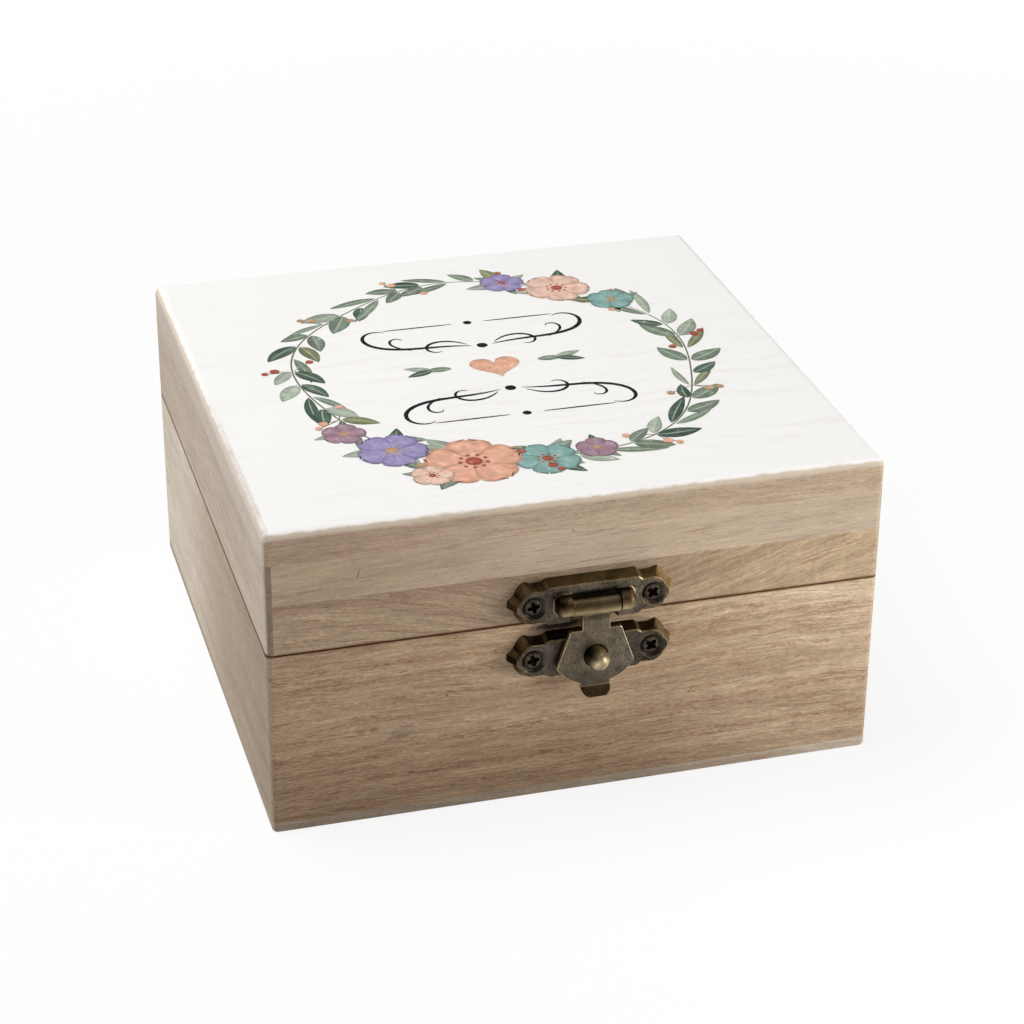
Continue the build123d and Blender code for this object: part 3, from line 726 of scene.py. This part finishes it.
# where a pair of screws sits in a clasp plate, and how far its dark seats reach
def seatsOf(screws):
    middle, half = middleOf(screws)
    offset, reach = half[0] - half[2], half[2] + seatMargin
    return [(middle[0] + side * offset, middle[2], reach) for side in (-1, 1)]


# y of the side of a node that faces the front
def faceOf(node):
    middle, half = middleOf(node)
    return middle[1] - half[1]


seatMargin = 0.45
plateFace = faceOf("clasp_base_plate")
pinHeight = middleOf("clasp_hinge_pin")[0][2]

# painted reflection and highlights: tone of a rolled part against how far its surface faces up, and of the
# knob against how far it faces up and left
rolledReflection = (
    (-1.0, (0.60, 0.48, 0.29)),
    (-0.75, (0.60, 0.48, 0.29)),
    (-0.375, (0.33, 0.26, 0.140)),
    (0.07, (0.122, 0.083, 0.045)),
    (0.31, (0.086, 0.062, 0.029)),
    (0.52, (0.087, 0.060, 0.027)),
    (0.71, (0.24, 0.165, 0.080)),
    (0.85, (0.50, 0.385, 0.230)),
    (0.96, (0.22, 0.170, 0.095)),
    (1.0, (0.08, 0.060, 0.035)),
)
knobReflection = (
    (-1.0, (0.62, 0.51, 0.32)),
    (-0.60, (0.60, 0.49, 0.31)),
    (-0.25, (0.26, 0.215, 0.130)),
    (0.05, (0.34, 0.28, 0.170)),
    (0.35, (0.78, 0.645, 0.39)),
    (0.72, (0.42, 0.345, 0.205)),
    (1.0, (0.050, 0.040, 0.024)),
)
sheetBrass = {
    "patinaDark": (0.030, 0.025, 0.018),
    "patinaLight": (0.166, 0.134, 0.098),
    "brassDark": (0.27, 0.205, 0.095),
    "brassLight": (0.70, 0.55, 0.31),
    "oliveDark": (0.055, 0.044, 0.018),
    "oliveLight": (0.20, 0.158, 0.075),
    "oliveFrom": (0.74, 0.90),  # how far up a surface faces where the painted olive shade starts and is full
    "patinaFrom": (0.86, 0.975),  # and how far to the front where the patina does
    "patinaShare": 1.0,
    "rollLean": (0.0, 1.0),
    "rough": 0.42,
}
stampedBrass = {**sheetBrass, "leftShadeTint": (0.44, 0.43, 0.44)}  # painted shade: walls that face left are darker still
lidPlateBrass = {
    **stampedBrass,
    "seats": seatsOf("clasp_lid_screws"),
    "patinaSpans": (("y", plateFace - 0.15, plateFace - 0.05),),
    "rolled": rolledReflection,
    "rollSpans": (("y", plateFace - 0.05, plateFace - 0.15),),
    # painted light and shade: darker towards the left end, lighter towards the right
    "fades": (((("x", 0, -6),), (0.78, 0.75, 0.78)), ((("x", 4, 10),), (1.15, 1.12, 1.12))),
    # painted shade: round the left ear's upper left, and in the window above the barrel
    "marks": (
        (-4.4, 37.4, 1.4, 1.2, 30, (0.32, 0.32, 0.32)),
        (3.0, 37.6, 6.5, 0.55, 0, (0.30, 0.30, 0.30)),
    ),
}
basePlateBrass = {
    **stampedBrass,
    # a deeper painted shade on walls that face up or left, under the lid plate
    "oliveDark": (0.022, 0.017, 0.007),
    "oliveLight": (0.085, 0.067, 0.030),
    "leftShadeTint": (0.26, 0.24, 0.24),
    "seats": seatsOf("clasp_base_screws"),
    # painted shade: darker towards the left end, and more towards the right
    "fades": (((("x", 0, -5),), (0.80, 0.80, 0.82)), ((("x", 4, 8),), (0.62, 0.62, 0.64))),
}
# painted shadow on the neck just under the knuckle
knuckleShadow = (("z", pinHeight - 2.5, pinHeight - 1.9), ("z", pinHeight - 1.25, pinHeight - 1.5))
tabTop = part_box("clasp_hasp")[0][2] / mm + 2.2
haspBrass = {
    **sheetBrass,
    "patinaDark": (0.058, 0.047, 0.032),
    "patinaLight": (0.190, 0.156, 0.111),
    "patinaSpans": (("z", pinHeight - 1.22, pinHeight - 1.34),),
    "rolled": rolledReflection,
    "rollSpans": (("z", pinHeight - 1.70, pinHeight - 1.50),),
    "brassDark": (0.32, 0.25, 0.13),
    "brassLight": (0.85, 0.68, 0.40),
    "fades": (
        (knuckleShadow, (0.55, 0.53, 0.52)),
        # darker towards the bottom of the shield
        ((("z", pinHeight - 9.5, pinHeight - 12.5),), (0.66, 0.64, 0.68)),
        # painted light: lighter towards the right
        ((("x", 2, 5),), (1.15, 1.18, 1.22)),
    ),
    "tabSpans": (("z", tabTop + 0.15, tabTop - 0.15), ("y", plateFace - 1.5, plateFace - 1.6)),
    "tabShadeTint": (0.30, 0.28, 0.28),
}
knobBrass = {
    **stampedBrass,
    "patinaShare": 0.0,
    "rough": 0.40,
    "rolled": knobReflection,
    "rollLean": (-0.82, 0.50),
    "rollSpans": (),
}
screwBronze = {
    **stampedBrass,
    "patinaDark": (0.018, 0.014, 0.010),
    "patinaLight": (0.098, 0.077, 0.056),
    "brassDark": (0.04, 0.034, 0.025),
    "brassLight": (0.14, 0.11, 0.07),
    "rough": 0.38,
}
hingeScrewBronze = {**screwBronze, "frontSign": -1}
screwFace = faceOf("clasp_lid_screws")
seats = lidPlateBrass["seats"] + basePlateBrass["seats"]
screwBronze["heads"] = [(seatX, seatZ, screwFace) for seatX, seatZ, reach in seats]

print("metal")
leaves = [f"hinge_{side}_{body}_leaf" for side in ("left", "right") for body in ("base", "lid")]
pins = ("clasp_hinge_pin", "hinge_left_pin", "hinge_right_pin")
dress(metalMaterial("lidPlateBrass", lidPlateBrass), "clasp_lid_plate")
dress(metalMaterial("basePlateBrass", basePlateBrass), "clasp_base_plate")
dress(metalMaterial("haspBrass", haspBrass), "clasp_hasp")
dress(metalMaterial("hingeBrass", {**stampedBrass, "frontSign": -1}), *leaves)
dress(metalMaterial("knobBrass", knobBrass), "clasp_knob", *pins)
dress(metalMaterial("screwBronze", screwBronze), "clasp_lid_screws", "clasp_base_screws")
dress(metalMaterial("hingeScrewBronze", hingeScrewBronze), "hinge_lid_screws", "hinge_base_screws")


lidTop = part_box("lid_top_board")[1][2] / mm
inks = {
    "sage": (0.215, 0.275, 0.205),
    "deep": (0.085, 0.135, 0.100),
    "mist": (0.370, 0.430, 0.345),
    "olive": (0.235, 0.250, 0.135),
    "stem": (0.185, 0.190, 0.130),
    "peach": (0.790, 0.430, 0.300),
    "blush": (0.820, 0.560, 0.450),
    "rust": (0.400, 0.095, 0.060),
    "tan": (0.520, 0.330, 0.190),
    "mauve": (0.370, 0.235, 0.300),
    "teal": (0.250, 0.430, 0.400),
    "lavender": (0.350, 0.300, 0.530),
    "charcoal": (0.014, 0.014, 0.016),
}


# one printed film: flat motifs, each a grid of points. Neighbours lie a hair above each other,
# so that they overlap like wet paint on paper, and the heights start again after a few motifs.
class Film:
    step = 0.0015  # of height, in millimetres

    def __init__(self, name, level, cycle):
        self.name, self.level, self.cycle = name, level, cycle
        self.motifs = 0
        self.points, self.faces, self.tints, self.places = [], [], [], []
        self.count = 0

    # grid: rows along the motif, columns across it, each point (x, y) from the lid's middle
    def add(self, grid, ink):
        rows, columns = grid.shape[:2]
        level = lidTop + self.level + Film.step * (self.motifs % self.cycle)
        height = np.full((rows, columns, 1), level)
        self.points.append(np.concatenate([grid, height], axis=2).reshape(-1, 3) * mm)
        corner = self.count + np.arange(rows - 1)[:, None] * columns + np.arange(columns - 1)[None, :]
        around = [corner, corner + columns, corner + columns + 1, corner + 1]
        self.faces.append(np.stack(around, axis=2).reshape(-1, 4))
        along, across = np.meshgrid(np.linspace(0, 1, rows), np.linspace(0, 1, columns), indexing="ij")
        self.places.append(np.stack([along, across], axis=2).reshape(-1, 2))
        self.tints.append(np.tile((*ink, 1.0), (rows * columns, 1)))
        self.count += rows * columns
        self.motifs += 1

    def finish(self, material):
        points, faces = np.concatenate(self.points), np.concatenate(self.faces)
        # a grid that runs the other way round is turned face up
        a, b, c = (points[faces[:, k]] for k in (0, 1, 2))
        down = np.cross(b - a, c - b)[:, 2] < 0
        faces[down] = faces[down][:, ::-1]
        mesh = bpy.data.meshes.new(self.name)
        mesh.from_pydata(points.tolist(), [], faces.tolist())
        corners = faces.reshape(-1)
        layer = mesh.uv_layers.new(name="place")
        layer.data.foreach_set("uv", np.concatenate(self.places)[corners].reshape(-1))
        tint = mesh.color_attributes.new("tint", "FLOAT_COLOR", "POINT")
        tint.data.foreach_set("color", np.concatenate(self.tints).reshape(-1))
        mesh.materials.append(material)
        film = placed(self.name, mesh)
        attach(film, "lid")


# turns flat points by an angle and moves them to a spot
def put(grid, spot, turn):
    c, s = math.cos(turn), math.sin(turn)
    return grid @ np.array([[c, s], [-s, c]]) + np.array(spot)


# Leaf: a midrib y = bend * length * t^2 for t from 0 to 1, and at each side of it a half width
# that goes as sin(pi * t^lean)^0.8, so that a lean under 1 puts the widest spot nearer the foot.
# The point s of the width, from -1 to 1, is the midrib plus s times the half width along its normal.
def leafGrid(length, width, bend, lean=0.8):
    t, s = np.linspace(0, 1, 13), np.linspace(-1, 1, 7)
    rib = np.stack([length * t, bend * length * t**2], axis=1)
    slope = np.stack([-2 * bend * t, np.ones_like(t)], axis=1)
    slope /= np.linalg.norm(slope, axis=1)[:, None]
    half = width / 2 * np.clip(np.sin(np.pi * t**lean), 0, 1) ** 0.8
    return rib[:, None, :] + (s[None, :, None] * half[:, None, None]) * slope[:, None, :]


# Petal: a straight midrib, at each side of it a half width that goes as sin(0.97 pi t^1.7)^0.5, and
# a wavy end, as the way along it goes as t * (1 - ripple * t^3 * cos(4 s)^2)
def petalGrid(length, width, ripple):
    t, s = np.linspace(0.04, 1, 12), np.linspace(-1, 1, 9)
    half = width / 2 * np.clip(np.sin(np.pi * t**1.7 * 0.97), 0, 1) ** 0.5
    reach = 1 - ripple * t[:, None] ** 3 * np.cos(4 * s[None, :]) ** 2
    return np.stack([length * t[:, None] * reach, s[None, :] * half[:, None]], axis=2)


# Disc: a square grid (u, v) from -1 to 1 is drawn round, x = u * sqrt(1 - v^2 / 2) and y likewise
def discGrid(radius, count=7):
    u, v = np.meshgrid(np.linspace(-1, 1, count), np.linspace(-1, 1, count), indexing="ij")
    return radius * np.stack([u * np.sqrt(1 - v**2 / 2), v * np.sqrt(1 - u**2 / 2)], axis=2)


# Heart: for x from -2 to 2 the upper edge is sqrt(1 - (|x| - 1)^2) and the lower one
# -2.6 * sqrt(1 - sqrt(|x| / 2)); rows are spaced evenly between them
def heartGrid(size):
    x = 2 * np.sin(np.linspace(-np.pi / 2, np.pi / 2, 25))
    upper = np.sqrt(np.clip(1 - (abs(x) - 1) ** 2, 0, 1))
    lower = -2.6 * np.sqrt(np.clip(1 - np.sqrt(abs(x) / 2), 0, 1))
    share = np.linspace(0, 1, 9)
    y = lower[None, :] + share[:, None] * (upper - lower)[None, :]
    return size / 4 * np.stack([np.tile(x, (9, 1)), y], axis=2)


# Stroke: a ribbon along a path, its half width going as sin(pi * t)^swell along it
def strokeGrid(path, width, swell=0.5):
    t = np.linspace(0, 1, len(path))
    run = np.gradient(path, axis=0)
    normal = np.stack([-run[:, 1], run[:, 0]], axis=1) / np.linalg.norm(run, axis=1)[:, None]
    half = width / 2 * np.clip(np.sin(np.pi * t), 0, 1) ** swell
    side = np.linspace(-1, 1, 3)
    return path[:, None, :] + side[None, :, None] * half[:, None, None] * normal[:, None, :]


# Scroll: a path of constant step whose heading is start + turn * t + curl * t^3, so it tightens
def scrollPath(spot, length, start, turn, curl, count=60):
    t = np.linspace(0, 1, count)
    heading = start + turn * t + curl * t**3
    step = length / (count - 1) * np.stack([np.cos(heading), np.sin(heading)], axis=1)
    return np.array(spot) + np.cumsum(step, axis=0)


# the wreath, in millimetres from the lid's middle
wreath = {
    "radiusX": 33.5,
    "radiusY": 36.5,
    "wobble": 0.9,
    "start": 0.9,  # angle at which stem and leaves start
    "pairs": 44,
    "leftOut": 0.18,  # share of the leaves
    "stem": 0.32,
    "twig": 0.22,
    "beads": ((3.0, 0.85), (4.6, 0.65), (-2.9, 0.7)),  # how far outward, and radius
}
# ranges of length, of width as a share of it and of the angle to the stem, then the lean
leafKinds = {
    "broad": ((5.2, 8.0), (0.38, 0.50), (0.50, 0.95), 0.8),
    "narrow": ((7.5, 11.0), (0.16, 0.22), (0.30, 0.60), 0.9),
}
# place, size, and inks of petals and eye: the big cluster lies at the lower left, and a small one
# across from it
blooms = (
    (-13.0, -34.0, 8.2, "peach", "rust"),
    (-24.5, -27.0, 6.0, "lavender", "tan"),
    (-1.5, -36.0, 5.6, "teal", "rust"),
    (-20.5, -37.2, 3.6, "blush", "rust"),
    (-30.6, -19.2, 3.8, "mauve", "tan"),
    (7.2, -34.2, 3.6, "mauve", "tan"),
    (19.5, 30.0, 6.2, "blush", "rust"),
    (27.3, 22.5, 4.4, "teal", "tan"),
    (10.6, 34.6, 4.2, "lavender", "rust"),
)
# a blossom's counts, and its sizes as shares of a petal's length
blossom = {"petals": 5, "width": 0.92, "ripple": 0.10, "eye": 0.17, "seeds": 9, "ring": 0.27, "seed": 0.045}
# scrolls beside the heart: start, length, heading, turn, curl and width
scrolls = (
    ((1.2, 9.0), 27.0, 0.30, -1.25, 4.9, 0.85),
    ((2.2, 9.6), 13.0, 0.95, -1.9, -2.9, 0.60),
    ((12.0, 9.7), 9.0, 0.55, 0.6, 3.6, 0.50),
)
plainRule = {"from": 2.6, "to": 15.5, "height": 19.0, "width": 0.42}
ruleDots = ((0.95, 9.0), (0.75, 19.0))  # radius and height
heartLeaves = ((7.5, 0.0, "sage"), (10.8, 0.35, "mist"), (10.8, -0.35, "deep"))  # distance and turn


# Ring of the wreath: an ellipse with both radii times 1 + wobble * sin(5 a) / radiusX
def ringPoint(angle):
    swell = 1 + wreath["wobble"] * np.sin(5 * angle) / wreath["radiusX"]
    x, y = wreath["radiusX"] * swell * np.cos(angle), wreath["radiusY"] * swell * np.sin(angle)
    return np.stack([x, y], axis=-1)


def printLeaves(films, dice):
    angles = np.linspace(0, 2 * np.pi, 181)[4:176] + wreath["start"]
    films["twigs"].add(strokeGrid(ringPoint(angles), wreath["stem"], 0.15), inks["stem"])
    for number in range(wreath["pairs"]):
        angle = wreath["start"] + (number + 0.5) / wreath["pairs"] * 2 * np.pi
        spot, ahead = ringPoint(np.array(angle)), ringPoint(np.array(angle + 0.02))
        heading = math.atan2(*(ahead - spot)[::-1])
        lengths, widths, spreads, lean = leafKinds["narrow" if number % 3 == 1 else "broad"]
        for side in (-1, 1):
            if dice.random() < wreath["leftOut"]:
                continue
            length = dice.uniform(*lengths)
            width = length * dice.uniform(*widths)
            spread = dice.uniform(*spreads)
            ink = inks[("sage", "deep", "mist", "sage", "olive")[int(dice.integers(0, 5))]]
            tinge = np.clip(np.array(ink) * dice.uniform(0.85, 1.18), 0, 1)
            start = spot + 0.4 * side * np.array([-math.sin(heading), math.cos(heading)])
            grid = leafGrid(length, width, -side * dice.uniform(0.05, 0.20), lean)
            films["leaves"].add(put(grid, start, heading + side * spread), tuple(tinge))
        if number % 4 == 2:
            outward = spot / np.linalg.norm(spot)
            sideways = 0.6 * np.array([-outward[1], outward[0]])
            for step, bead in wreath["beads"]:
                at = spot + outward * step + sideways * (step - 3.6)
                films["twigs"].add(strokeGrid(np.linspace(spot, at, 8), wreath["twig"], 0.1), inks["stem"])
                ink = inks[("rust", "peach", "tan")[number // 4 % 3]]
                films["petals"].add(put(discGrid(bead), at, 0.0), ink)


def printBlossom(film, spot, size, ink, eye, turn):
    petal = petalGrid(size, size * blossom["width"], blossom["ripple"])
    for number in range(blossom["petals"]):
        film.add(put(petal, spot, turn + number * 2 * math.pi / blossom["petals"]), ink)
    film.add(put(discGrid(size * blossom["eye"]), spot, 0.0), eye)
    ring = size * blossom["ring"]
    for number in range(blossom["seeds"]):
        angle = turn + 0.3 + number * 2 * math.pi / blossom["seeds"]
        at = (spot[0] + ring * math.cos(angle), spot[1] + ring * math.sin(angle))
        film.add(put(discGrid(size * blossom["seed"], 4), at, 0.0), eye)


def printBlooms(films):
    for x, y, size, ink, eye in blooms:
        for turn, green in ((0.5, "deep"), (2.4, "mist"), (4.3, "sage")):
            grid = leafGrid(size * 1.35, size * 0.5, 0.12)
            films["leaves"].add(put(grid, (x, y), turn + x), inks[green])
        printBlossom(films["petals"], (x, y), size, inks[ink], inks[eye], x * 0.37)


# a heart between two scrolled rules, with plain rules above and below
def printHeart(films):
    films["petals"].add(put(heartGrid(8.6), (0, 1.2), 0.0), inks["peach"])
    rules, ink = films["rules"], inks["charcoal"]
    across = np.linspace(plainRule["from"], plainRule["to"], 20)
    line = np.stack([across, np.full(20, plainRule["height"])], axis=1)
    for rise in (-1, 1):
        for side in (-1, 1):
            mirror = np.array([side, rise])
            for *path, width in scrolls:
                rules.add(strokeGrid(scrollPath(*path) * mirror, width, 0.55), ink)
            rules.add(strokeGrid(line * mirror, plainRule["width"], 0.35), ink)
        for radius, height in ruleDots:
            rules.add(put(discGrid(radius, 5), (0, height * rise), 0.0), ink)
    for side in (-1, 1):
        for distance, turn, green in heartLeaves:
            heading = turn if side > 0 else math.pi - turn
            spot = (side * distance, 1.0)
            films["leaves"].add(put(leafGrid(5.0, 1.9, 0.0), spot, heading), inks[green])


# watercolour: the tint pools darker along the edge, differs between a leaf's halves and is
# blotched, with thin spots and a pale rib
def paintMaterial(name, vein, pool):
    bench = NodeBench(name)
    x, y, z = bench.place()
    tint = bench.add("Attribute", {}, attribute_name="tint")
    along, across = bench.parts(bench.add("UVMap", {}, uv_map="place"))[:2]
    off = bench.sum("ABSOLUTE", bench.plus(bench.times(across, 2.0), -1.0))
    blotch = bench.noise(bench.point(x, y, 0.0), 0.55, 3.0, 0.6)
    grain = bench.noise(bench.point(x, y, 5.0), 3.0, 2.0, 0.6)
    wash = bench.blend((blotch, 0.7), (grain, 0.3))
    strength = bench.span(wash, 0.32, 0.68, 0.72, 1.28)
    rim, end = bench.span(off, 0.62, 1.0, smooth=True), bench.span(along, 0.84, 1.0, smooth=True)
    edge = bench.sum("MAXIMUM", rim, end)
    strength = bench.times(strength, bench.span(edge, 0.0, 1.0, 1.0, 1.0 - pool))
    side = bench.span(across, 0.44, 0.56, 0.90, 1.08)
    strength = bench.times(strength, bench.mix(vein, (1, 1, 1), side))
    colour = bench.scaled(tint, strength)
    rib = bench.times(bench.span(off, 0.16, 0.04, smooth=True), bench.span(along, 0.98, 0.75))
    colour = bench.mix(bench.times(rib, vein * 0.55), colour, (0.62, 0.66, 0.56))
    thin = bench.times(bench.span(wash, 0.56, 0.70, smooth=True), 0.35)
    colour = bench.mix(thin, colour, (0.90, 0.88, 0.85))
    normal = bench.bump(grain, 0.10, 0.00004)
    return bench.finish(Base_Color=colour, Roughness=0.6, Normal=normal, Specular_IOR_Level=0.3)


def ruleMaterial(name):
    bench = NodeBench(name)
    x, y, z = bench.place()
    tint = bench.add("Attribute", {}, attribute_name="tint")
    grain = bench.noise(bench.point(x, y, 5.0), 2.6, 3.0, 0.65)
    worn = bench.times(bench.span(grain, 0.55, 0.75, smooth=True), 0.16)
    colour = bench.mix(worn, tint, (0.55, 0.53, 0.50))
    normal = bench.bump(grain, 0.10, 0.00004)
    return bench.finish(Base_Color=colour, Roughness=0.62, Normal=normal, Specular_IOR_Level=0.3)


print("printed wreath")
films = {
    "twigs": Film("printedTwigs", 0.010, 1),
    "leaves": Film("printedLeaves", 0.013, 13),
    "petals": Film("printedBlossoms", 0.034, 30),
    "rules": Film("printedRules", 0.013, 4),
}
printLeaves(films, np.random.default_rng(11))
printBlooms(films)
printHeart(films)
films["leaves"].finish(paintMaterial("leafPaint", 1.0, 0.28))
films["petals"].finish(paintMaterial("blossomPaint", 0.25, 0.32))
inkMaterial = ruleMaterial("ruleInk")
films["rules"].finish(inkMaterial)
films["twigs"].finish(inkMaterial)

print("floor")
floorLook = {
    "size": 12.0,  # in metres
    "shade": (0.93, 0.93, 0.93),
    "white": (95.0, 420.0, 0.86, 1.0),  # near and far in millimetres, and share of white there
}


# pale and shaded near the box, and plain white farther off
def makeFloor():
    half = floorLook["size"] / 2
    mesh = bpy.data.meshes.new("floor")
    corners = [(-half, -half, 0), (half, -half, 0), (half, half, 0), (-half, half, 0)]
    mesh.from_pydata(corners, [], [(0, 1, 2, 3)])
    floor = placed("floor", mesh)
    bench = NodeBench("paleFloor")
    rays = bench.tree.nodes.new("ShaderNodeLightPath")
    seen = bench.sum("MAXIMUM", rays.outputs["Is Camera Ray"], rays.outputs["Is Glossy Ray"])
    x, y, z = bench.place()
    whiteShare = bench.span(bench.length(x, y), *floorLook["white"], smooth=True)
    plain = bench.add("BsdfDiffuse", {"Color": floorLook["shade"]})
    white = bench.add("Emission", {"Color": (1, 1, 1), "Strength": 1.0})
    both = bench.add("MixShader", {0: bench.times(seen, whiteShare), 1: plain, 2: white})
    bench.tree.links.new(both, bench.tree.nodes["Material Output"].inputs["Surface"])
    mesh.materials.append(bench.material)


makeFloor()
bpy.context.scene.view_settings.view_transform = "Standard"
